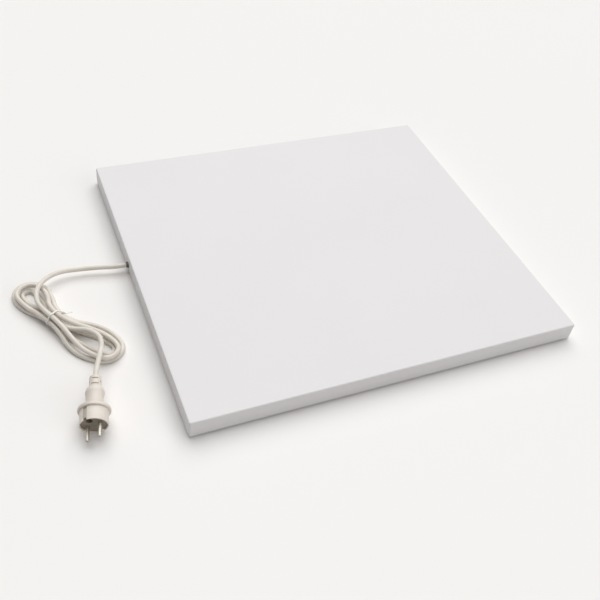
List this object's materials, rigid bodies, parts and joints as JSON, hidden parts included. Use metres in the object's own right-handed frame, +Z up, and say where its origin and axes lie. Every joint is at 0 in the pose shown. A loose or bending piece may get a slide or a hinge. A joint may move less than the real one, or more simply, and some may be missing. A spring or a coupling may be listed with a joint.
{
  "type": "infrared panel heater",
  "caption": "Flat square-cornered infrared heating panel in a thin white sheet-metal tray, lying face up, with its mains lead tied in a hank and ending in a round earthed plug.",
  "frame": {"origin": "on the floor under the middle of the panel, at the underside of the rear pads", "axes": "+Z up, square to the heated face; +X along the front edge of the panel, away from the side where the cord comes out; +Y to the back edge"},
  "size_m": [0.7734, 0.55, 0.0421],
  "materials": {
    "panel_enamel": "satin white powder coat, very finely grained",
    "rear_sheet": "thin white coat on the rear sheet",
    "pad_rubber": "dull grey elastomer",
    "screw_steel": "zinc-plated steel",
    "rail_steel": "galvanised sheet",
    "nut_steel": "zinc-plated steel",
    "carrier_laminate": "glass-fibre laminate",
    "track_metal": "etched resistance foil",
    "film_plastic": "heat-resistant amber film",
    "contact_brass": "bright brass",
    "reflector_aluminium": "bright foil",
    "mineral_board": "pressed mineral fibre",
    "box_plastic": "light grey moulding",
    "block_ceramic": "unglazed steatite",
    "limiter_plastic": "black phenolic with a steel cap",
    "core_blue": "insulated wire",
    "core_brown": "insulated wire",
    "core_green": "insulated wire in green and yellow",
    "bush_plastic": "dull grey elastomer",
    "cord_sheath": "satin ivory flexible sheath",
    "tie_plastic": "whitish plastic-covered wire tie",
    "plug_plastic": "satin ivory moulding",
    "plug_insert": "dark taupe moulding",
    "pin_nickel": "nickel-plated brass"
  },
  "bodies": {
    "root": {"front_panel": "panel_enamel", "rear_cover": "rear_sheet", "rear_pads": "pad_rubber", "cover_screws": "screw_steel", "stiffening_rails": "rail_steel", "rivet_nuts": "nut_steel", "element_carrier": "carrier_laminate", "heating_track": "track_metal", "cover_film": "film_plastic", "track_terminals": "contact_brass", "reflector_foil": "reflector_aluminium", "insulation_board": "mineral_board", "junction_box": "box_plastic", "access_plate": "rear_sheet", "plate_screws": "screw_steel", "cord_clamp": "box_plastic", "clamp_screws": "screw_steel", "terminal_block": "block_ceramic", "terminal_tubes": "contact_brass", "terminal_screws": "screw_steel", "block_screws": "screw_steel", "thermal_limiter": "limiter_plastic", "core_neutral": "core_blue", "core_earth": "core_green", "core_live": "core_brown", "live_wire": "core_brown", "limiter_wire": "core_brown", "neutral_wire": "core_blue", "earth_wire": "core_green", "earth_stud": "screw_steel", "earth_ring": "contact_brass", "earth_nut": "screw_steel", "cord_bush": "bush_plastic", "cord_inner": "cord_sheath", "cord_lead": "cord_sheath", "cord_hank": "cord_sheath", "cord_tail": "cord_sheath", "cord_tie": "tie_plastic", "plug_grip": "plug_plastic", "plug_bridge": "plug_insert", "plug_pins": "pin_nickel", "plug_earth_strip": "pin_nickel", "plug_earth_socket": "pin_nickel"}
  },
  "joints": []
}
